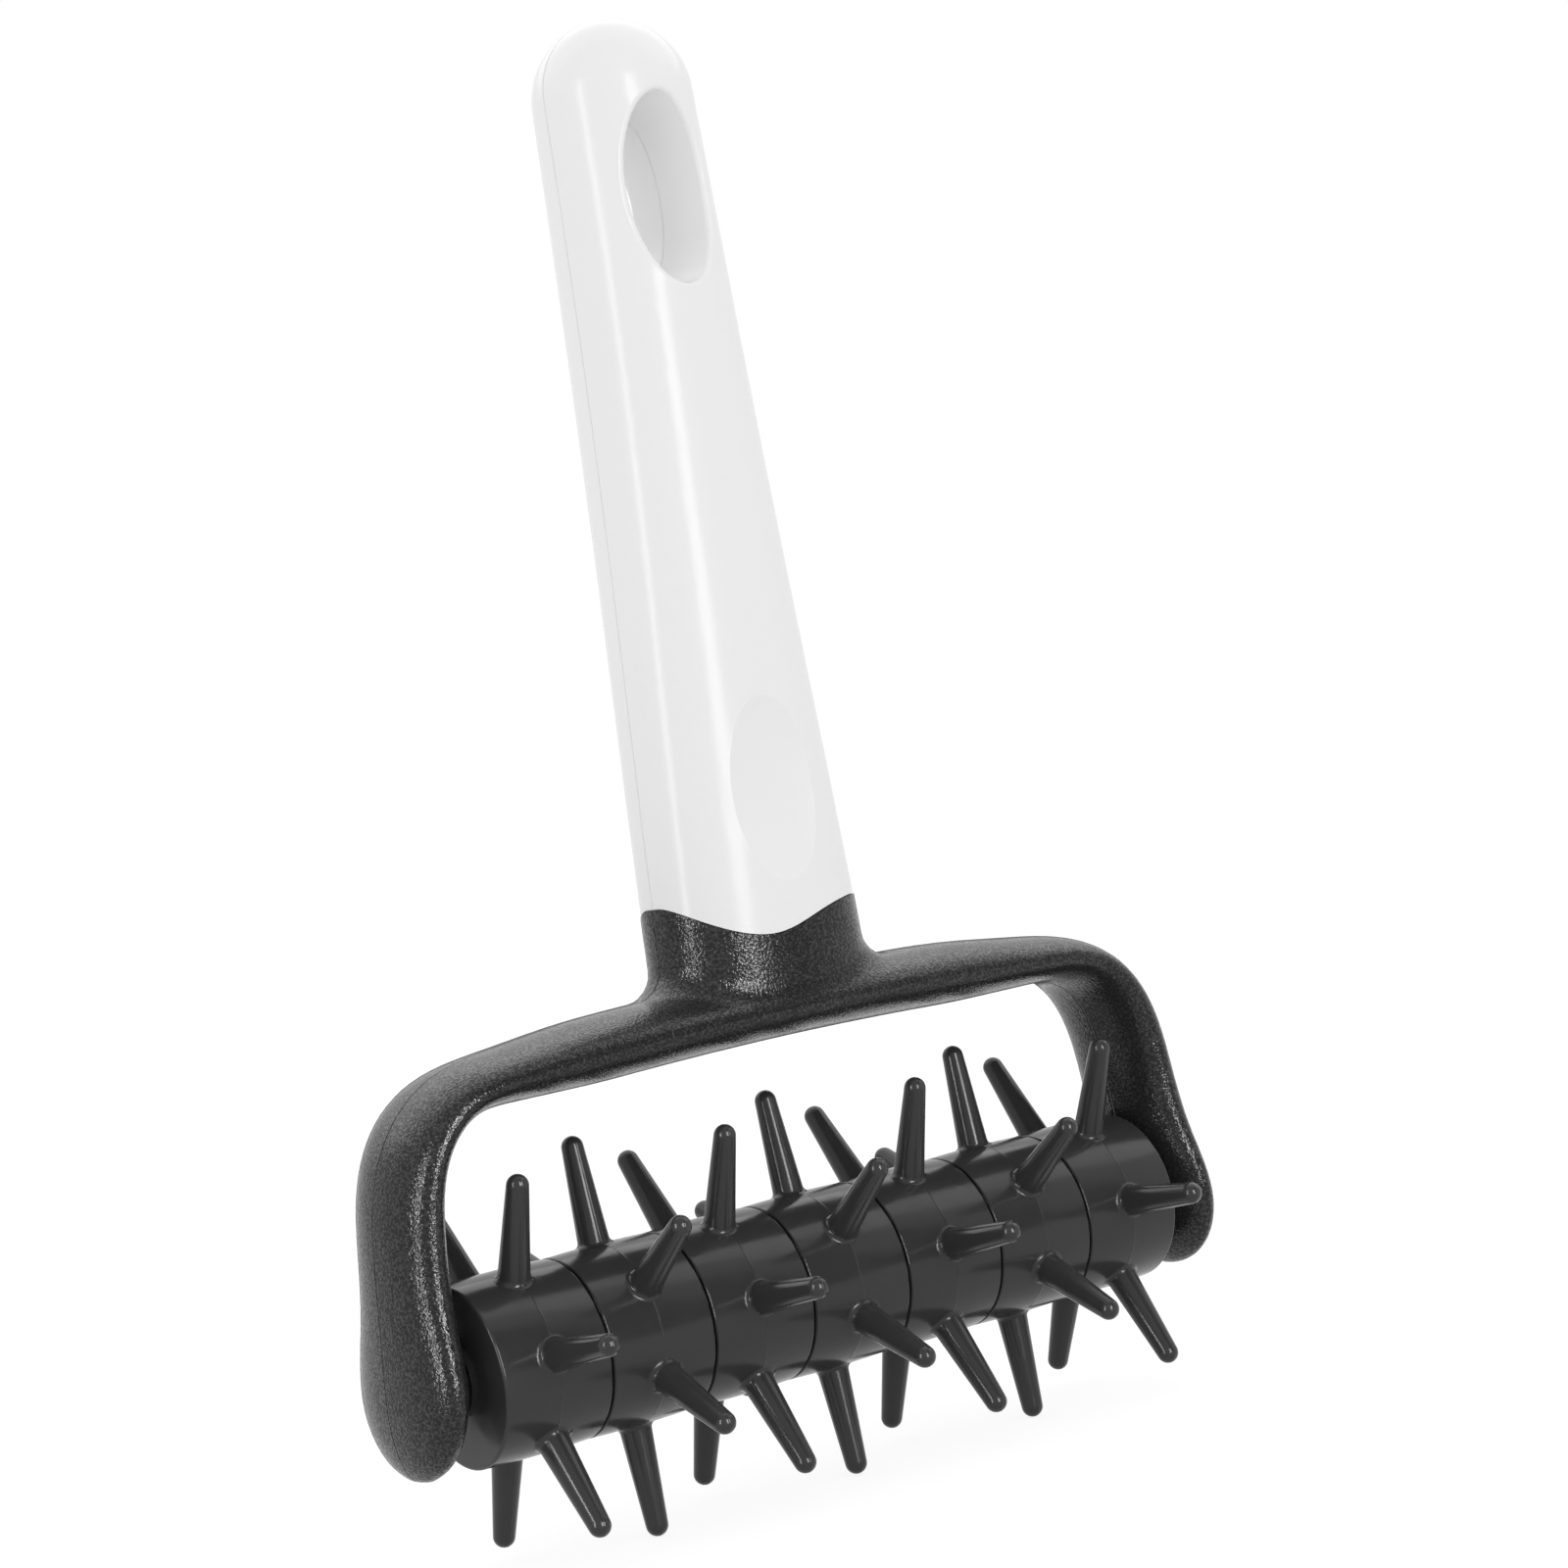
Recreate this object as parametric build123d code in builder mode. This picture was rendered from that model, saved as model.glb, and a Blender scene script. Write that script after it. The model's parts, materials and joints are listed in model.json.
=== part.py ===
from build123d import *
import math
import os

# A hand-held dough docker: seven spiked rings turn together on a steel axle,
# held in a U-shaped fork with a smooth white grip. X runs along the roller,
# Y from front to back and Z up the grip. The origin lies under the middle of
# the roller, level with the lowest spike tip. Lengths are in millimetres, and
# heights in the tables below are measured from the axle.

# Roller
ring_count = 7
ring_pitch = 15.0
body_radius = 11.35
rim_draft = 0.15
rim_fillet = 0.35
spike_count = 6
spike_reach = 25.0
spike_base_radius = 2.1
spike_tip_radius = 1.4
spike_root_fillet = 0.7
spike_sink = 1.5
roller_turn = 52.04
ring_stagger = 15.0
ring_plays = [1.06, -1.01, 0.87, 1.14, 1.52, -1.53, -2.02]

# Hexagonal tube, bushes and axle
hex_corners = 6
hex_flats = 8.0
hex_key_gap = 0.15
tube_bore_radius = 3.0
bush_length = 12.0
bush_flange_radius = 4.7
bush_flange_width = 0.8
press_gap = 0.01
axle_radius = 2.0
axle_overhang = 7.0
axle_chamfer = 0.4
running_gap = 0.05
seat_gap = 0.02
seat_end_gap = 0.3

# Fork: its U is the same on both sides. The table follows the middle line of
# the right side from the top to the axle, in shares of the arm's distance and
# of the height above the axle, with half the thickness and half the depth.
arch_height = 35.55
arm_clearance = 6.0
arm_splay = 5.2
fork_stations = [
    (0.0, 1.0, 4.07, 11.47),
    (0.1196, 0.9989, 4.08, 11.17),
    (0.2392, 0.9956, 4.09, 10.88),
    (0.3588, 0.9901, 4.09, 10.59),
    (0.4784, 0.9825, 4.04, 10.3),
    (0.5808, 0.9741, 3.76, 10.04),
    (0.6661, 0.966, 3.45, 9.83),
    (0.7428, 0.957, 3.2, 9.65),
    (0.8177, 0.9303, 3.06, 9.46),
    (0.8826, 0.8638, 3.11, 9.26),
    (0.9291, 0.7638, 3.33, 9.02),
    (0.9583, 0.632, 3.6, 8.8),
    (0.9738, 0.4653, 3.75, 8.71),
    (0.9865, 0.2413, 3.75, 9.47),
    (1.0, 0.0, 3.75, 11.2),
]
foot_round = 10.8
foot_shares = [0.25, 0.5, 0.7, 0.85, 0.95, 0.99]

# Bosses on the arms and cored pockets between the two halves of the fork
boss_radius = 5.0
boss_fillet = 0.4
boss_gap = 0.3
pocket_depth = 5.0
arch_pocket_share = 0.4
arch_pocket_length = 16.0
arch_pocket_width = 3.2
arm_pocket_share = 0.78
arm_pocket_length = 8.0
arm_pocket_width = 2.8

# Neck: height, half width and half depth, and the blend into the bar
neck_sections = [(35.5, 14.75, 10.8), (44.0, 14.6, 10.7), (58.0, 14.0, 10.6)]
neck_squareness = 2.2
neck_fillet = 4.3

# Grip: height, half width, half depth and squareness
grip_sections = [
    (44.0, 14.55, 10.6, 2.2),
    (70.0, 13.3, 10.6, 2.2),
    (100.0, 11.75, 10.6, 2.2),
    (127.0, 10.75, 10.5, 2.15),
    (152.2, 10.3, 10.3, 2.0),
]
dome_shares = [0.0, 0.25, 0.5, 0.7, 0.85, 0.95, 0.99]
cavity_sections = [(43.0, 12.2, 8.3), (80.0, 10.5, 8.3), (110.0, 9.1, 8.3), (150.0, 8.1, 8.1)]
oval_points = 16
grip_half_depth = 10.4
joint_gap = 0.12

# Wavy joint of grip and neck, across the neck
joint_wave = [(-14.2, 50.3), (-9.6, 46.7), (-3.5, 45.0), (3.8, 46.7), (9.2, 47.75), (14.2, 47.6)]

# Hang hole and thumb hollow
hole_height = 139.2
hole_half_length = 12.3
hole_half_width = 5.9
hole_draft = 6.6
hole_wall = 1.8
hole_rim = 0.6
hollow_height = 63.0
hollow_half_length = 11.7
hollow_half_width = 6.1
hollow_depth = 1.7
hollow_wall = 1.8

# Tang of the fork inside the grip, ribs around it and the screws through it
tang_root = 42.0
tang_root_half_width = 8.5
tang_root_half_depth = 5.5
tang_tip_half_width = 5.5
tang_tip_half_depth = 4.6
tang_head_half_width = 6.5
tang_head_half_depth = 5.4
tang_head_length = 6.0
tang_gap = 0.1
rib_heights = [62.0, 84.0, 106.0]
rib_thickness = 2.0
screw_heights = [72.0, 95.0]
screw_seat = 2.8
screw_radius = 1.5
screw_length = 6.2
screw_head_radius = 2.6
screw_head_height = 1.6
screw_cross_length = 3.4
screw_cross_width = 0.8
screw_cross_depth = 0.9
screw_gap = 0.02
screw_head_gap = 0.3

overrun = 5.0

os.makedirs("parts", exist_ok=True)

# Places that follow from the sizes above
roller_half_length = ring_count * ring_pitch / 2
axle_half_length = roller_half_length + axle_overhang
arm_offset = roller_half_length + arm_clearance
foot_half_thickness, foot_half_depth = fork_stations[-1][2:]
bar_half_thickness = fork_stations[0][2]
spike_tip_centre = spike_reach - spike_tip_radius
lowest_tip = 0
for index in range(ring_count):
    side = 1 if index % 2 == 0 else -1
    for number in range(spike_count):
        turn = roller_turn + side * ring_stagger + ring_plays[index] + 360 / spike_count * number
        lowest_tip = min(lowest_tip, spike_tip_centre * math.sin(math.radians(turn)))
axle_height = spike_tip_radius - lowest_tip

boss_face = roller_half_length + bush_flange_width + boss_gap
axle_line = Axis((0, 0, axle_height), (1, 0, 0))
front_plane = Plane(origin=(0, 0, axle_height), x_dir=(1, 0, 0), z_dir=(0, -1, 0))


def oval(half_width, half_depth, squareness):
    """Points around an oval that is slightly squarer than an ellipse."""
    points = []
    for number in range(oval_points):
        turn = 2 * math.pi * number / oval_points
        across = math.copysign(abs(math.cos(turn)) ** (2 / squareness), math.cos(turn))
        along = math.copysign(abs(math.sin(turn)) ** (2 / squareness), math.sin(turn))
        points.append((half_width * across, half_depth * along))
    return points


def between(low, high, share):
    """Value at a share of the way from one value to the other."""
    return low + (high - low) * share


# Ring: a barrel with six spikes at its middle, on a hexagonal bore
with BuildPart() as ring:
    with BuildSketch(Plane.XY):
        with BuildLine():
            rim = (ring_pitch / 2, body_radius - rim_draft)
            Polyline(rim, (ring_pitch / 2, 0), (-ring_pitch / 2, 0), (-rim[0], rim[1]))
            ThreePointArc((-rim[0], rim[1]), (0, body_radius), rim)
        make_face()
    revolve(axis=Axis.X)
    for number in range(spike_count):
        turn = math.radians(ring_stagger + 360 / spike_count * number)
        out = Vector(0, -math.cos(turn), math.sin(turn))
        with BuildSketch(Plane(origin=(0, 0, 0), x_dir=out, z_dir=out.cross(Vector(1, 0, 0)))):
            with BuildLine():
                base = body_radius - spike_sink
                middle_turn = math.pi / 4
                top = (
                    spike_tip_centre + spike_tip_radius * math.cos(middle_turn),
                    spike_tip_radius * math.sin(middle_turn),
                )
                shoulder = (spike_tip_centre, spike_tip_radius)
                Polyline((spike_reach, 0), (base, 0), (base, spike_base_radius), shoulder)
                ThreePointArc(shoulder, top, (spike_reach, 0))
            make_face()
        revolve(axis=Axis((0, 0, 0), out))
    fillet(ring.edges().filter_by(GeomType.BSPLINE), spike_root_fillet)
    fillet(ring.edges().filter_by_position(Axis.X, ring_pitch / 2, ring_pitch / 2), rim_fillet)
    fillet(ring.edges().filter_by_position(Axis.X, -ring_pitch / 2, -ring_pitch / 2), rim_fillet)
    with BuildSketch(Plane(origin=(-ring_pitch / 2, 0, 0), x_dir=(0, -1, 0), z_dir=(1, 0, 0))):
        RegularPolygon(hex_flats / 2 + hex_key_gap, hex_corners, major_radius=False)
    extrude(amount=ring_pitch, mode=Mode.SUBTRACT)

# The rings alternate: every second one is turned over
for index in range(ring_count):
    middle = (index + 1 / 2) * ring_pitch - roller_half_length
    turned_over = Rot(0, 0, 0) if index % 2 == 0 else Rot(0, 180, 0)
    name = f"ring_{index + 1}"
    placed = Pos(middle, 0, axle_height) * Rot(-roller_turn - ring_plays[index], 0, 0) * turned_over * ring.part
    placed.label = name
    export_step(placed, f"parts/{name}.step")

# Hexagonal tube: carries the rings and turns with them
with BuildPart() as hex_tube:
    turn = math.radians(roller_turn)
    corner = (0, -math.cos(turn), math.sin(turn))
    tube_start = (-roller_half_length, 0, axle_height)
    with BuildSketch(Plane(origin=tube_start, x_dir=corner, z_dir=(1, 0, 0))):
        RegularPolygon(hex_flats / 2, hex_corners, major_radius=False)
        Circle(tube_bore_radius, mode=Mode.SUBTRACT)
    extrude(amount=2 * roller_half_length)
hex_tube.part.label = "hex_tube"
export_step(hex_tube.part, "parts/hex_tube.step")

# Flanged bushes: pressed into the tube's ends, they run on the axle
for name, side in (("bush_left", -1), ("bush_right", 1)):
    with BuildPart() as bush:
        flange_plane = Plane(
            origin=(side * roller_half_length, 0, axle_height), x_dir=(0, 1, 0), z_dir=(side, 0, 0)
        )
        with BuildSketch(flange_plane):
            Circle(bush_flange_radius)
        extrude(amount=bush_flange_width)
        with BuildSketch(flange_plane):
            Circle(tube_bore_radius - press_gap)
        extrude(amount=-bush_length)
        with BuildSketch(flange_plane.offset(bush_flange_width)):
            Circle(axle_radius + running_gap)
        extrude(amount=-bush_flange_width - bush_length, mode=Mode.SUBTRACT)
    bush.part.label = name
    export_step(bush.part, f"parts/{name}.step")

# Axle: a plain steel rod held in the two arms
with BuildPart() as axle:
    with BuildSketch(Plane(origin=(-axle_half_length, 0, axle_height), x_dir=(0, 1, 0), z_dir=(1, 0, 0))):
        Circle(axle_radius)
    extrude(amount=2 * axle_half_length)
    chamfer(axle.edges().filter_by(GeomType.CIRCLE), axle_chamfer)
axle.part.label = "axle"
export_step(axle.part, "parts/axle.step")

# Middle line of the fork's right side and the sections along it, mirrored to the left
lean = math.radians(arm_splay)
arm_up = Vector(-math.sin(lean), 0, math.cos(lean))
foot = Vector(arm_offset, 0, axle_height)
spots = [
    Vector(across * arm_offset, 0, axle_height + up * arch_height)
    for across, up, thick, deep in fork_stations
]
fork_line = Spline(*spots, tangents=(Vector(1, 0, 0), -arm_up))

stations = []
for spot, (across, up, thick, deep) in zip(spots, fork_stations):
    along = fork_line.tangent_at(fork_line.param_at_point(spot))
    stations.append((spot, along, thick, deep))
for share in foot_shares:
    spot = foot - arm_up * foot_round * share
    shrink = math.sqrt(1 - share**2)
    stations.append((spot, -arm_up, foot_half_thickness * shrink, foot_half_depth * shrink))
foot_end = foot - arm_up * foot_round

mirrored = []
for spot, along, thick, deep in reversed(stations[1:]):
    mirrored.append((Vector(-spot.X, 0, spot.Z), Vector(along.X, 0, -along.Z), thick, deep))
fork_sections = [Vertex(-foot_end.X, 0, foot_end.Z)]
for spot, along, thick, deep in mirrored + stations:
    with BuildSketch(Plane(origin=spot, x_dir=(0, -1, 0), z_dir=along)) as section:
        with BuildLine():
            EllipticalCenterArc((0, 0), deep, thick, start_angle=0, arc_size=180)
            EllipticalCenterArc((0, 0), deep, thick, start_angle=180, arc_size=180)
        make_face()
    fork_sections.append(section.sketch.face())
fork_sections.append(Vertex(foot_end.X, 0, foot_end.Z))

# Fork: the U, its neck, the tang that runs up into the grip and the axle bosses
tang_tip = rib_heights[-1] + rib_thickness / 2 + tang_gap
tang_sections = [
    (tang_root, tang_root_half_width, tang_root_half_depth),
    (tang_tip, tang_tip_half_width, tang_tip_half_depth),
]
with BuildPart() as fork:
    loft(sections=fork_sections)
    for height, half_width, half_depth in neck_sections:
        with BuildSketch(Plane.XY.offset(axle_height + height)):
            with BuildLine():
                Spline(*oval(half_width, half_depth, neck_squareness), periodic=True)
            make_face()
    loft()
    bar_top = axle_height + arch_height + bar_half_thickness
    neck_roots = [e for e in fork.edges() if e.is_closed and e.center().Z < bar_top]
    fillet(neck_roots, neck_fillet)
    with BuildSketch(front_plane):
        with BuildLine():
            left, right = joint_wave[0], joint_wave[-1]
            top = neck_sections[-1][0] + overrun
            Spline(*joint_wave)
            Polyline(
                right,
                (right[0] + overrun, right[1]),
                (right[0] + overrun, top),
                (left[0] - overrun, top),
                (left[0] - overrun, left[1]),
                left,
            )
        make_face()
    extrude(amount=foot_half_depth + overrun, both=True, mode=Mode.SUBTRACT)
    for height, half_width, half_depth in tang_sections:
        with BuildSketch(Plane.XY.offset(axle_height + height)):
            Rectangle(2 * half_width, 2 * half_depth)
    loft()
    with BuildSketch(Plane.XY.offset(axle_height + tang_tip)):
        Rectangle(2 * tang_head_half_width, 2 * tang_head_half_depth)
    extrude(amount=tang_head_length)
    for side in (-1, 1):
        face_plane = Plane(
            origin=(side * boss_face, 0, axle_height), x_dir=(0, 1, 0), z_dir=(side, 0, 0)
        )
        with BuildSketch(face_plane):
            Circle(boss_radius)
        extrude(amount=arm_offset - boss_face)
        rims = fork.edges().filter_by_position(Axis.X, side * boss_face, side * boss_face)
        fillet(rims, boss_fillet)
        with BuildSketch(face_plane):
            Circle(axle_radius + seat_gap)
        extrude(amount=axle_half_length + seat_end_gap - boss_face, mode=Mode.SUBTRACT)
    pockets = (
        (arch_pocket_share, arch_pocket_length, arch_pocket_width),
        (arm_pocket_share, arm_pocket_length, arm_pocket_width),
    )
    for side in (-1, 1):
        for share, long, wide in pockets:
            spot = fork_line @ share
            along = fork_line % share
            run = (side * along.X, 0, along.Z)
            spot = Vector(side * spot.X, 0, spot.Z)
            with BuildSketch(Plane(origin=spot, x_dir=run, z_dir=(0, -1, 0))):
                SlotOverall(long, wide)
            extrude(amount=pocket_depth, both=True, mode=Mode.SUBTRACT)
    for height in screw_heights:
        seat_plane = Plane(
            origin=(0, screw_seat, axle_height + height), x_dir=(1, 0, 0), z_dir=(0, 1, 0)
        )
        with BuildSketch(seat_plane):
            Circle(screw_head_radius + screw_head_gap)
        extrude(amount=foot_half_depth, mode=Mode.SUBTRACT)
        with BuildSketch(seat_plane):
            Circle(screw_radius + screw_gap)
        extrude(amount=-screw_length - screw_gap, mode=Mode.SUBTRACT)

# The fork is moulded as a front and a back half
for name, kept in (("yoke_front", Keep.TOP), ("yoke_back", Keep.BOTTOM)):
    with BuildPart() as half:
        add(fork.part)
        split(bisect_by=Plane.XZ, keep=kept)
    half.part.label = name
    export_step(half.part, f"parts/{name}.step")

# Screws that clamp the two halves of the tang
with BuildPart() as tang_screws:
    for height in screw_heights:
        seat_plane = Plane(
            origin=(0, screw_seat, axle_height + height), x_dir=(1, 0, 0), z_dir=(0, 1, 0)
        )
        with BuildSketch(seat_plane):
            Circle(screw_head_radius)
        extrude(amount=screw_head_height)
        with BuildSketch(seat_plane):
            Circle(screw_radius)
        extrude(amount=-screw_length)
        with BuildSketch(seat_plane.offset(screw_head_height)):
            Rectangle(screw_cross_length, screw_cross_width)
            Rectangle(screw_cross_width, screw_cross_length)
        extrude(amount=-screw_cross_depth, mode=Mode.SUBTRACT)
tang_screws.part.label = "tang_screws"
export_step(tang_screws.part, "parts/tang_screws.step")

# Thumb hollow: a barrel-shaped scoop, and the same scoop grown by the wall
low_section, high_section = grip_sections[0], grip_sections[1]
hollow_share = (hollow_height - low_section[0]) / (high_section[0] - low_section[0])
width_there = between(low_section[1], high_section[1], hollow_share)
front_there, squareness = low_section[2], low_section[3]
edge_share = 1 - (hollow_half_width / width_there) ** squareness
side_depth = hollow_depth - front_there * (1 - edge_share ** (1 / squareness))
long_radius = (hollow_half_length**2 + hollow_depth**2) / (2 * hollow_depth)
short_radius = (hollow_half_width**2 + side_depth**2) / (2 * side_depth)
scoop_centre = (0, hollow_depth - front_there - long_radius, axle_height + hollow_height)
scoops = []
for grown in (0, hollow_wall):
    with BuildPart() as scoop:
        with BuildSketch(Plane(origin=scoop_centre, x_dir=(1, 0, 0), z_dir=(0, 0, 1))):
            with BuildLine():
                half = hollow_half_width + overrun
                sag = short_radius + grown - math.sqrt((short_radius + grown) ** 2 - half**2)
                edge = long_radius + grown - sag
                Polyline((half, edge), (half, 0), (-half, 0), (-half, edge))
                ThreePointArc((-half, edge), (0, long_radius + grown), (half, edge))
            make_face()
        revolve(axis=Axis(scoop_centre, (1, 0, 0)))
    scoops.append(scoop.part)

# Hang hole: it narrows from both faces of the grip to its middle
hole_slope = math.tan(math.radians(hole_draft))
hole_steps = [(0, -hole_slope * grip_half_depth), (grip_half_depth + overrun, hole_slope * overrun)]
hole_tools = []
for grown in (0, hole_wall):
    with BuildPart() as hole_tool:
        for side in (-1, 1):
            for reach, spread in hole_steps:
                spot = (0, side * reach, axle_height + hole_height)
                with BuildSketch(Plane(origin=spot, x_dir=(1, 0, 0), z_dir=(0, -1, 0))):
                    Ellipse(hole_half_width + grown + spread, hole_half_length + grown + spread)
            loft()
    hole_tools.append(hole_tool.part)

# Hollow inside of the grip, with walls around the hole and ribs around the tang
with BuildPart() as cavity:
    for height, half_width, half_depth in cavity_sections:
        with BuildSketch(Plane.XY.offset(axle_height + height)):
            Ellipse(half_width, half_depth)
    loft()
    add(hole_tools[1], mode=Mode.SUBTRACT)
    add(scoops[1], mode=Mode.SUBTRACT)
    for height in rib_heights:
        with BuildSketch(Plane.XY.offset(axle_height + height - rib_thickness / 2)):
            Rectangle(2 * foot_half_depth + overrun, 2 * foot_half_depth + overrun)
        extrude(amount=rib_thickness, mode=Mode.SUBTRACT)
    for height, half_width, half_depth in tang_sections:
        with BuildSketch(Plane.XY.offset(axle_height + height)):
            Rectangle(2 * (half_width + tang_gap), 2 * (half_depth + tang_gap))
    loft()

# Grip: tapering oval with a round top, a hole through it and an open lower end
crown_height, crown_radius = grip_sections[-1][0], grip_sections[-1][1]
dome_sections = []
for share in dome_shares:
    shrunk = crown_radius * math.sqrt(1 - share**2)
    with BuildSketch(Plane.XY.offset(axle_height + crown_height + crown_radius * share)) as section:
        with BuildLine():
            Spline(*oval(shrunk, shrunk, 2), periodic=True)
        make_face()
    dome_sections.append(section.sketch.face())
dome_sections.append(Vertex(0, 0, axle_height + crown_height + crown_radius))

with BuildPart() as grip:
    for height, half_width, half_depth, squareness in grip_sections:
        with BuildSketch(Plane.XY.offset(axle_height + height)):
            with BuildLine():
                Spline(*oval(half_width, half_depth, squareness), periodic=True)
            make_face()
    loft()
    loft(sections=dome_sections)
    add(hole_tools[0], mode=Mode.SUBTRACT)
    rims = [e for e in grip.edges() if e.is_closed and abs(e.bounding_box().center().Y) > hole_rim]
    fillet(rims, hole_rim)
    with BuildSketch(front_plane):
        with BuildLine():
            left, right = joint_wave[0], joint_wave[-1]
            bottom = grip_sections[0][0] - overrun
            raised = [(x, height + joint_gap) for x, height in joint_wave]
            Spline(*raised)
            Polyline(
                raised[-1],
                (right[0] + overrun, raised[-1][1]),
                (right[0] + overrun, bottom),
                (left[0] - overrun, bottom),
                (left[0] - overrun, raised[0][1]),
                raised[0],
            )
        make_face()
    extrude(amount=foot_half_depth + overrun, both=True, mode=Mode.SUBTRACT)

# The grip is moulded as a front half with the thumb hollow and a plain back half
with BuildPart() as handle_front:
    add(grip.part)
    split(bisect_by=Plane.XZ, keep=Keep.TOP)
    add(cavity.part, mode=Mode.SUBTRACT)
    add(scoops[0], mode=Mode.SUBTRACT)
handle_front.part.label = "handle_front"
export_step(handle_front.part, "parts/handle_front.step")

with BuildPart() as handle_back:
    add(grip.part)
    split(bisect_by=Plane.XZ, keep=Keep.BOTTOM)
    add(cavity.part, mode=Mode.SUBTRACT)
handle_back.part.label = "handle_back"
export_step(handle_back.part, "parts/handle_back.step")
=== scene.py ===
import json
import math

import bmesh
import bpy
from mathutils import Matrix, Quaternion, Vector

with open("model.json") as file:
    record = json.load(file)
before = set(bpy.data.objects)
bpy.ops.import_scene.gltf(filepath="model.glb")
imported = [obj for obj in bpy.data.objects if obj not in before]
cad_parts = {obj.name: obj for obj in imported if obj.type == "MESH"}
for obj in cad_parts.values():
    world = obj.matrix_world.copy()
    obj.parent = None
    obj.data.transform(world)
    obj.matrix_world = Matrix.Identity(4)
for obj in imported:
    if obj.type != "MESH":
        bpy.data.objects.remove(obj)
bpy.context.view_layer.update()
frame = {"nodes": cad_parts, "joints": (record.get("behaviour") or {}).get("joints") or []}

nodes = frame["nodes"]


# Axle and tang screws. The axle is a 4 mm rod of drawn stainless steel with
# chamfered ends, held in the two arms; the screws are plain pan heads that
# clamp the tang. Both are nearly hidden, so they get one quiet bare metal.
def from_hex(code):
    """Linear RGBA of an sRGB hex colour."""
    parts = [int(code[place:place + 2], 16) / 255 for place in (1, 3, 5)]
    linear = [p / 12.92 if p <= 0.04045 else ((p + 0.055) / 1.055) ** 2.4 for p in parts]
    return (*linear, 1.0)


def add_node(tree, kind, settings=None, links=None):
    """Adds one node. Settings and links go to inputs by name or by place, or to properties."""
    node = tree.nodes.new(kind)
    for name, value in (settings or {}).items():
        if isinstance(name, int) or name in node.inputs:
            node.inputs[name].default_value = value
        else:
            setattr(node, name, value)
    for name, socket in (links or {}).items():
        tree.links.new(socket, node.inputs[name])
    return node


def start_material(name):
    """A new material with an empty node tree."""
    material = bpy.data.materials.new(name)
    material.use_nodes = True
    material.node_tree.nodes.clear()
    return material, material.node_tree


def per_metre(size_mm):
    """The scale of a pattern whose features are this many millimetres wide."""
    return 1000 / size_mm


# Drawn stainless steel: fine lines run along the rod and stretch its glints.
line_length_mm = 16
line_width_mm = 0.2
line_depth = 0.00002
drawn_steel, tree = start_material("drawn_stainless_steel")
place = add_node(tree, "ShaderNodeTexCoord")
stretch = add_node(
    tree,
    "ShaderNodeMapping",
    {"Scale": (per_metre(line_length_mm), per_metre(line_width_mm), per_metre(line_width_mm))},
    {"Vector": place.outputs["Object"]},
)
lines = add_node(tree, "ShaderNodeTexNoise", {"Scale": 1.0, "Detail": 3.0}, {"Vector": stretch.outputs["Vector"]})
relief = add_node(tree, "ShaderNodeBump", {"Strength": 0.2, "Distance": line_depth}, {"Height": lines.outputs["Fac"]})
shader = add_node(
    tree,
    "ShaderNodeBsdfPrincipled",
    {"Base Color": from_hex("#c9c9cb"), "Metallic": 1.0, "Roughness": 0.28},
    {"Normal": relief.outputs["Normal"]},
)
add_node(tree, "ShaderNodeOutputMaterial", links={"Surface": shader.outputs["BSDF"]})
for name in ("axle", "tang_screws"):
    nodes[name].data.materials[0] = drawn_steel

# Hexagonal tube and its two flanged bushes. They are moulded in the rings'
# black plastic; the bushes slide on the axle and their flanges close the
# ends of the roller, so only the flange edges show.
sink_width_mm = 7.7
sink_depth = 0.00006
haze_width_mm = 2.4

# Unfilled black polypropylene from a polished mould: near black, with a
# clean sharp sheen that the mould's slight sink makes a little uneven.
gloss_black, tree = start_material("polished_black_polypropylene")
place = add_node(tree, "ShaderNodeTexCoord")
sink = add_node(
    tree,
    "ShaderNodeTexNoise",
    {"Scale": per_metre(sink_width_mm), "Detail": 1.0},
    {"Vector": place.outputs["Object"]},
)
relief = add_node(tree, "ShaderNodeBump", {"Strength": 0.35, "Distance": sink_depth}, {"Height": sink.outputs["Fac"]})
haze = add_node(
    tree,
    "ShaderNodeTexNoise",
    {"Scale": per_metre(haze_width_mm), "Detail": 4.0},
    {"Vector": place.outputs["Object"]},
)
dull = add_node(
    tree,
    "ShaderNodeMapRange",
    {"From Min": 0.3, "From Max": 0.7, "To Min": 0.10, "To Max": 0.2},
    {"Value": haze.outputs["Fac"]},
)
shader = add_node(
    tree,
    "ShaderNodeBsdfPrincipled",
    {"Base Color": from_hex("#303031"), "IOR": 1.49, "Specular IOR Level": 0.22},
    {"Roughness": dull.outputs["Result"], "Normal": relief.outputs["Normal"]},
)
add_node(tree, "ShaderNodeOutputMaterial", links={"Surface": shader.outputs["BSDF"]})
for name in ("hex_tube", "bush_left", "bush_right"):
    nodes[name].data.materials[0] = gloss_black

# Seven spiked rings. Each is one moulding on the hexagonal tube; the mould
# opens at the middle of the spikes, so the barrel drafts away to both sides
# from a fine parting line. All seven are black polypropylene.
ring_count = 7
ring_pitch = 0.015
draft_slope = 0.028
flash_width = 0.00016
flash_height = 0.00002
groove_start = 0.00705
groove_reach = 3.4 * ring_pitch
barrel_sink_mm = 6.7

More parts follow.
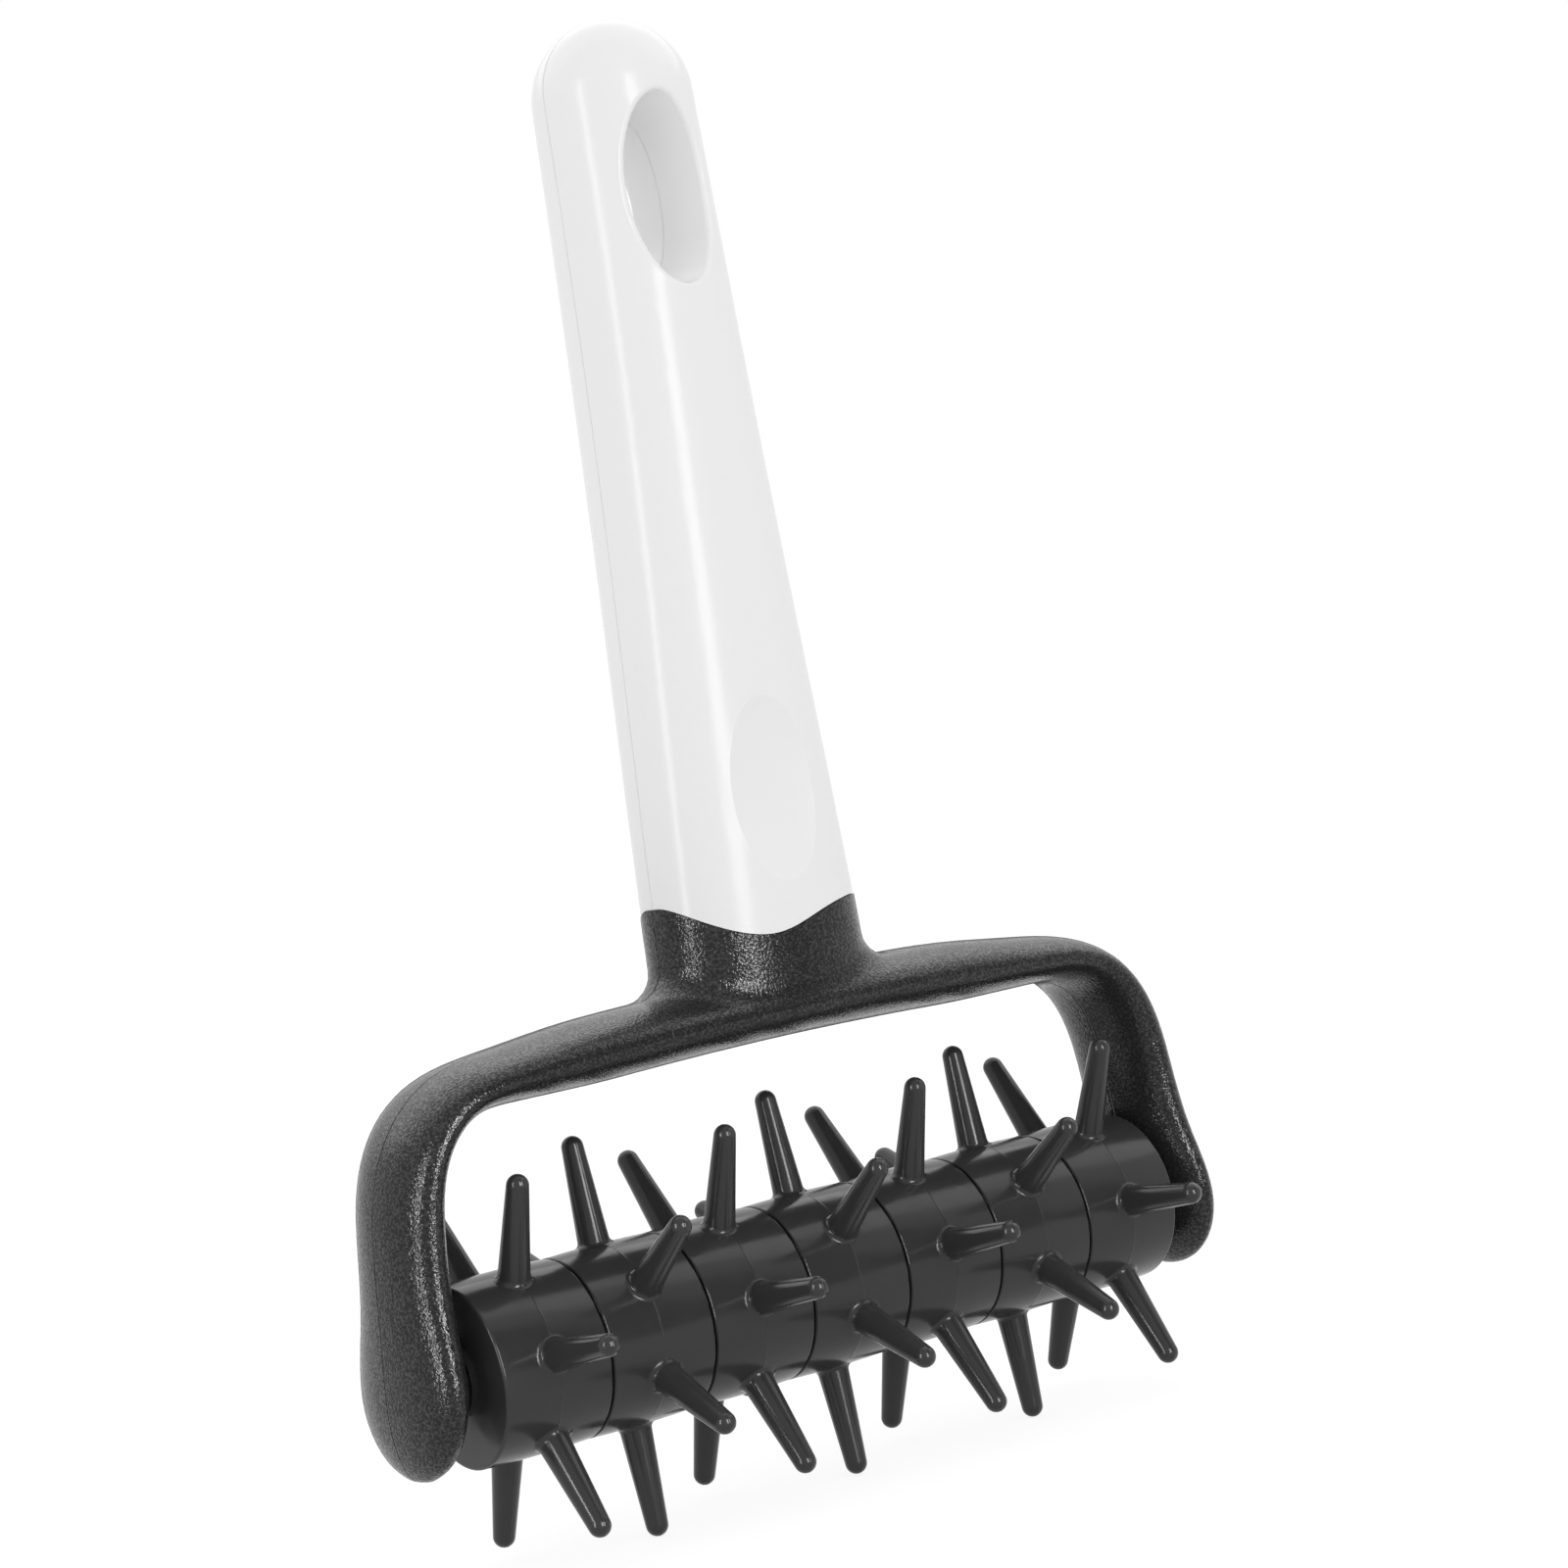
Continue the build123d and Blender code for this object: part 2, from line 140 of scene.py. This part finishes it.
# Polished black polypropylene as above. The skin breaks at every ring's middle, where a hair of flash catches the
# light. The grooves between neighbouring rings carry painted shade: near each inner ring end the colour darkens almost
# to black and the shine drops.
ring_black, tree = start_material("moulded_black_polypropylene")
place = add_node(tree, "ShaderNodeTexCoord")
axes = add_node(tree, "ShaderNodeSeparateXYZ", links={"Vector": place.outputs["Object"]})
off_middle = add_node(
    tree, "ShaderNodeMath", {"operation": "PINGPONG", 1: ring_pitch / 2}, {0: axes.outputs["X"]}
)
draft = add_node(tree, "ShaderNodeMath", {"operation": "MULTIPLY", 1: -draft_slope}, {0: off_middle.outputs["Value"]})
flash = add_node(
    tree,
    "ShaderNodeMapRange",
    {"interpolation_type": "SMOOTHSTEP", "From Max": flash_width, "To Min": flash_height, "To Max": 0.0},
    {"Value": off_middle.outputs["Value"]},
)
skin = add_node(
    tree, "ShaderNodeMath", {"operation": "ADD"}, {0: draft.outputs["Value"], 1: flash.outputs["Result"]}
)
break_line = add_node(tree, "ShaderNodeBump", {"Strength": 1.0, "Distance": 1.0}, {"Height": skin.outputs["Value"]})
sink = add_node(
    tree,
    "ShaderNodeTexNoise",
    {"Scale": per_metre(barrel_sink_mm), "Detail": 1.0},
    {"Vector": place.outputs["Object"]},
)
relief = add_node(
    tree,
    "ShaderNodeBump",
    {"Strength": 0.5, "Distance": sink_depth},
    {"Height": sink.outputs["Fac"], "Normal": break_line.outputs["Normal"]},
)
haze = add_node(
    tree,
    "ShaderNodeTexNoise",
    {"Scale": per_metre(haze_width_mm), "Detail": 4.0},
    {"Vector": place.outputs["Object"]},
)
dull = add_node(
    tree,
    "ShaderNodeMapRange",
    {"From Min": 0.3, "From Max": 0.7, "To Min": 0.14, "To Max": 0.24},
    {"Value": haze.outputs["Fac"]},
)
across = add_node(tree, "ShaderNodeMath", {"operation": "ABSOLUTE"}, {0: axes.outputs["X"]})
between = add_node(tree, "ShaderNodeMath", {"operation": "LESS_THAN", 1: groove_reach}, {0: across.outputs["Value"]})
# Painted shade in the grooves: this mask darkens the colour and lowers the shine over the last half millimetre of each
# inner ring end, but not at the roller's outer ends.
groove_painted_shade = add_node(
    tree,
    "ShaderNodeMapRange",
    {"interpolation_type": "SMOOTHSTEP", "From Min": groove_start, "From Max": ring_pitch / 2},
    {"Value": off_middle.outputs["Value"], "To Max": between.outputs["Value"]},
)
tone_with_painted_light = add_node(
    tree,
    "ShaderNodeMix",
    {"data_type": "RGBA", "A": from_hex("#383839"), "B": from_hex("#0c0c0c")},
    {"Factor": groove_painted_shade.outputs["Result"]},
)
gleam = add_node(tree, "ShaderNodeMapRange", {"To Min": 0.22, "To Max": 0.06}, {"Value": groove_painted_shade.outputs["Result"]})
shader = add_node(
    tree,
    "ShaderNodeBsdfPrincipled",
    {"IOR": 1.49},
    {
        "Base Color": tone_with_painted_light.outputs["Result"],
        "Specular IOR Level": gleam.outputs["Result"],
        "Roughness": dull.outputs["Result"],
        "Normal": relief.outputs["Normal"],
    },
)
add_node(tree, "ShaderNodeOutputMaterial", links={"Surface": shader.outputs["BSDF"]})
for number in range(1, ring_count + 1):
    nodes[f"ring_{number}"].data.materials[0] = ring_black

# Fork. Two black ABS halves meet at the middle plane and carry the axle.
# Each is one moulding; they are clamped at the tang, and the joint shows as
# a fine dark line all the way round.
grain_width_mm = 0.33
grain_depth = 0.00008
joint_start = 0.00004
joint_end = 0.00018
joint_depth = 0.00015

# Black ABS from a spark-eroded mould: a fine pebbled grain breaks highlights into sparkles. Its size is judged, and a
# third of a millimetre is about as fine as the render can show. The sparkle is partly painted: the pebble tops are
# drawn a little paler than the pits, as painted highlights, and glossier, so that it shows at all; and the roughness
# rises nearly edge on, where pebbles would scatter the reflection.
grained_black, tree = start_material("spark_grained_black_abs")
place = add_node(tree, "ShaderNodeTexCoord")
pebbles = add_node(
    tree,
    "ShaderNodeTexNoise",
    {"Scale": per_metre(grain_width_mm), "Detail": 1.0, "Roughness": 0.5},
    {"Vector": place.outputs["Object"]},
)
tops = add_node(tree, "ShaderNodeMapRange", {"From Min": 0.42, "From Max": 0.68}, {"Value": pebbles.outputs["Fac"]})
# Painted highlight: the colour is paler on the pebble tops, standing in for the sparkle they catch.
tone_with_painted_light = add_node(
    tree,
    "ShaderNodeMix",
    {"data_type": "RGBA", "A": from_hex("#262627"), "B": from_hex("#323233")},
    {"Factor": tops.outputs["Result"]},
)
grain = add_node(tree, "ShaderNodeBump", {"Strength": 1.0, "Distance": grain_depth}, {"Height": pebbles.outputs["Fac"]})
axes = add_node(tree, "ShaderNodeSeparateXYZ", links={"Vector": place.outputs["Object"]})
off_joint = add_node(tree, "ShaderNodeMath", {"operation": "ABSOLUTE"}, {0: axes.outputs["Y"]})
lips = add_node(
    tree,
    "ShaderNodeMapRange",
    {"interpolation_type": "SMOOTHSTEP", "From Min": joint_start, "From Max": joint_end},
    {"Value": off_joint.outputs["Value"]},
)
relief = add_node(
    tree,
    "ShaderNodeBump",
    {"Strength": 1.0, "Distance": joint_depth},
    {"Height": lips.outputs["Result"], "Normal": grain.outputs["Normal"]},
)
buffed = add_node(tree, "ShaderNodeMapRange", {"To Min": 0.15, "To Max": 0.5}, {"Value": tops.outputs["Result"]})
shine = add_node(
    tree,
    "ShaderNodeMapRange",
    {"To Min": 0.03},
    {"Value": lips.outputs["Result"], "To Max": buffed.outputs["Result"]},
)
slant = add_node(tree, "ShaderNodeLayerWeight", {"Blend": 0.5})
dull = add_node(
    tree,
    "ShaderNodeMapRange",
    {"From Min": 0.86, "From Max": 0.97, "To Min": 0.16, "To Max": 0.75},
    {"Value": slant.outputs["Facing"]},
)
shader = add_node(
    tree,
    "ShaderNodeBsdfPrincipled",
    {"IOR": 1.45},
    {
        "Base Color": tone_with_painted_light.outputs["Result"],
        "Roughness": dull.outputs["Result"],
        "Specular IOR Level": shine.outputs["Result"],
        "Normal": relief.outputs["Normal"],
    },
)
add_node(tree, "ShaderNodeOutputMaterial", links={"Surface": shader.outputs["BSDF"]})
for name in ("yoke_front", "yoke_back"):
    nodes[name].data.materials[0] = grained_black

# Grip. Two hollow white ABS shells close over the tang and are welded along
# the sides. The weld leaves a shallow line round the edge and in the hang
# hole.
wave_length_mm = 16.7
wave_depth = 0.00008
weld_width = 0.0002
weld_depth = 0.0001

# White ABS from a polished mould: a soft clean shine, a little wavy along
# its length, over an even white body.
white_abs, tree = start_material("polished_white_abs")
place = add_node(tree, "ShaderNodeTexCoord")
waves = add_node(
    tree,
    "ShaderNodeTexNoise",
    {"Scale": per_metre(wave_length_mm), "Detail": 1.0},
    {"Vector": place.outputs["Object"]},
)
gentle = add_node(tree, "ShaderNodeBump", {"Strength": 0.25, "Distance": wave_depth}, {"Height": waves.outputs["Fac"]})
axes = add_node(tree, "ShaderNodeSeparateXYZ", links={"Vector": place.outputs["Object"]})
off_weld = add_node(tree, "ShaderNodeMath", {"operation": "ABSOLUTE"}, {0: axes.outputs["Y"]})
lips = add_node(
    tree,
    "ShaderNodeMapRange",
    {"interpolation_type": "SMOOTHSTEP", "From Min": 0.0, "From Max": weld_width},
    {"Value": off_weld.outputs["Value"]},
)
relief = add_node(
    tree,
    "ShaderNodeBump",
    {"Strength": 1.0, "Distance": weld_depth},
    {"Height": lips.outputs["Result"], "Normal": gentle.outputs["Normal"]},
)
shader = add_node(
    tree,
    "ShaderNodeBsdfPrincipled",
    {"Base Color": from_hex("#f3f3f3"), "IOR": 1.53, "Specular IOR Level": 0.07, "Roughness": 0.2},
    {"Normal": relief.outputs["Normal"]},
)
add_node(tree, "ShaderNodeOutputMaterial", links={"Surface": shader.outputs["BSDF"]})
for name in ("handle_front", "handle_back"):
    nodes[name].data.materials[0] = white_abs

# Studio floor: a wide sheet of matt white paper under the lowest spikes.
# The camera and reflections see it as plain white with a faint shadow.
floor_half_size = 4.0
fibre_width_mm = 1.1
fibre_depth = 0.00005

floor_mesh = bpy.data.meshes.new("studio_floor")
made = bmesh.new()
bmesh.ops.create_grid(made, x_segments=1, y_segments=1, size=floor_half_size)
made.to_mesh(floor_mesh)
made.free()
floor = bpy.data.objects.new("studio_floor", floor_mesh)
bpy.context.scene.collection.objects.link(floor)

# Uncoated white paper: dead matt, with fibres that are too fine to see.
paper, tree = start_material("white_studio_paper")
place = add_node(tree, "ShaderNodeTexCoord")
ray = add_node(tree, "ShaderNodeLightPath")
fibres = add_node(
    tree,
    "ShaderNodeTexNoise",
    {"Scale": per_metre(fibre_width_mm), "Detail": 3.0},
    {"Vector": place.outputs["Object"]},
)
relief = add_node(tree, "ShaderNodeBump", {"Strength": 0.1, "Distance": fibre_depth}, {"Height": fibres.outputs["Fac"]})
matt = add_node(tree, "ShaderNodeBsdfDiffuse", {"Color": from_hex("#f2f2f2")}, {"Normal": relief.outputs["Normal"]})
faint = add_node(tree, "ShaderNodeBsdfDiffuse", {"Color": from_hex("#888888")})
glow = add_node(tree, "ShaderNodeEmission", {"Strength": 0.86})
seen = add_node(tree, "ShaderNodeAddShader", links={0: faint.outputs["BSDF"], 1: glow.outputs["Emission"]})
direct = add_node(
    tree,
    "ShaderNodeMath",
    {"operation": "MAXIMUM"},
    {0: ray.outputs["Is Camera Ray"], 1: ray.outputs["Is Glossy Ray"]},
)
passed = add_node(
    tree,
    "ShaderNodeMath",
    {"operation": "MAXIMUM"},
    {0: direct.outputs["Value"], 1: ray.outputs["Is Transmission Ray"]},
)
either = add_node(
    tree,
    "ShaderNodeMixShader",
    links={"Fac": passed.outputs["Value"], 1: matt.outputs["BSDF"], 2: seen.outputs["Shader"]},
)
add_node(tree, "ShaderNodeOutputMaterial", links={"Surface": either.outputs["Shader"]})
floor_mesh.materials.append(paper)

# White surround. It lights the object a little less than the camera and
# reflections see it, so that the background stays pure white.
world = bpy.data.worlds.new("white_surround")
bpy.context.scene.world = world
world.use_nodes = True
tree = world.node_tree
tree.nodes.clear()
ray = add_node(tree, "ShaderNodeLightPath")
direct = add_node(
    tree,
    "ShaderNodeMath",
    {"operation": "MAXIMUM"},
    {0: ray.outputs["Is Camera Ray"], 1: ray.outputs["Is Glossy Ray"]},
)
passed = add_node(
    tree,
    "ShaderNodeMath",
    {"operation": "MAXIMUM"},
    {0: direct.outputs["Value"], 1: ray.outputs["Is Transmission Ray"]},
)
level = add_node(tree, "ShaderNodeMapRange", {"To Min": 0.84, "To Max": 1.0}, {"Value": passed.outputs["Value"]})
sky = add_node(tree, "ShaderNodeBackground", {"Color": (1, 1, 1, 1)}, {"Strength": level.outputs["Result"]})
add_node(tree, "ShaderNodeOutputWorld", links={"Surface": sky.outputs["Background"]})

# The photograph's view: level with the grip's lower half, from front left.
sensor_width = 36.0
focal_pixels = 3669.5
photo_pixels = 1600
view_azimuth = math.radians(34.962)
view_tilt = math.radians(-0.773)
view_roll = math.radians(-9.521)
axle_height = frame["joints"][0]["pos_m"][2]
camera_data = bpy.data.cameras.new("photo_camera")
camera_data.sensor_width = sensor_width
camera_data.lens = sensor_width * focal_pixels / photo_pixels
camera_data.clip_start = 0.01
camera_data.clip_end = 20.0
camera = bpy.data.objects.new("photo_camera", camera_data)
bpy.context.scene.collection.objects.link(camera)
bpy.context.scene.camera = camera
ahead = Vector(
    (
        math.sin(view_azimuth) * math.cos(view_tilt),
        math.cos(view_azimuth) * math.cos(view_tilt),
        math.sin(view_tilt),
    )
)
camera.location = (-0.2567, -0.3796, 0.0693 + axle_height)
camera.rotation_mode = "QUATERNION"
camera.rotation_quaternion = ahead.to_track_quat("-Z", "Y") @ Quaternion((0, 0, 1), view_roll)

# Lamps, a metre from the object. Two tall strip boxes beside the camera and
# a ceiling panel show in reflections alone; three cloths, in front and at
# both sides, light the matt colour alone and are never reflected. Each row is
# name, turn from the camera, lift, width, brightness, shows in reflections.
lamps = (
    ("strip_box_left", -43.0, 0.0, 0.13, 25.0, True),
    ("strip_box_right", 30.0, 0.0, 0.24, 23.0, True),
    ("ceiling_panel", 180.0, 62.0, 3.0, 1.3, True),
    ("cloth_front", -12.0, 0.0, 1.0, 0.5, False),
    ("cloth_left", -120.0, 0.0, 1.0, 0.3, False),
    ("cloth_right", 70.0, 0.0, 1.0, 0.4, False),
)
lamp_height = 1.2
lamp_centre = Vector((0, 0, 0.1))
to_camera = Vector((-ahead.x, -ahead.y, 0)).normalized()
for name, turn, lift, wide, brightness, mirrored in lamps:
    lamp = bpy.data.lights.new(name, "AREA")
    lamp.shape = "RECTANGLE"
    lamp.size = wide
    lamp.size_y = lamp_height
    lamp.energy = brightness * math.pi * wide * lamp_height
    box = bpy.data.objects.new(name, lamp)
    box.visible_camera = False
    box.visible_glossy = mirrored
    box.visible_diffuse = not mirrored
    bpy.context.scene.collection.objects.link(box)
    toward = to_camera * math.cos(math.radians(lift))
    toward.z = math.sin(math.radians(lift))
    toward.rotate(Quaternion((0, 0, 1), math.radians(turn)))
    box.location = lamp_centre + toward
    box.rotation_mode = "QUATERNION"
    box.rotation_quaternion = (-toward).to_track_quat("-Z", "Y")

# Black card: a board faced with felt, leaning at the right. It shows only in
# reflections, where its edge breaks the white surround into two tones.
card_turn = math.radians(58.5)
card_distance = 0.95
card_width = 0.43
card_height = 1.5
card_lean = math.radians(13.0)
nap_width_mm = 1.4
nap_depth = 0.0003

card_mesh = bpy.data.meshes.new("black_card")
made = bmesh.new()
bmesh.ops.create_grid(made, x_segments=1, y_segments=1, size=0.5)
bmesh.ops.scale(made, vec=(card_width, card_height, 1), verts=made.verts)
made.to_mesh(card_mesh)
made.free()
card = bpy.data.objects.new("black_card", card_mesh)
bpy.context.scene.collection.objects.link(card)
toward = to_camera.copy()
toward.rotate(Quaternion((0, 0, 1), card_turn))
card.location = Vector((0, 0, card_height / 2)) + card_distance * toward
card.rotation_mode = "QUATERNION"
card.rotation_quaternion = (-toward).to_track_quat("-Z", "Y") @ Quaternion((0, 0, 1), card_lean)
card.visible_camera = False
card.visible_diffuse = False
card.visible_shadow = False

# Black wool felt: matt, with a short nap that keeps it from mirroring.
black_felt, tree = start_material("black_felt")
place = add_node(tree, "ShaderNodeTexCoord")
nap = add_node(
    tree,
    "ShaderNodeTexNoise",
    {"Scale": per_metre(nap_width_mm), "Detail": 3.0},
    {"Vector": place.outputs["Object"]},
)
relief = add_node(tree, "ShaderNodeBump", {"Strength": 0.3, "Distance": nap_depth}, {"Height": nap.outputs["Fac"]})
felt = add_node(tree, "ShaderNodeBsdfDiffuse", {"Color": from_hex("#3c3c3c")}, {"Normal": relief.outputs["Normal"]})
add_node(tree, "ShaderNodeOutputMaterial", links={"Surface": felt.outputs["BSDF"]})
card_mesh.materials.append(black_felt)

bpy.context.scene.view_settings.view_transform = "Standard"
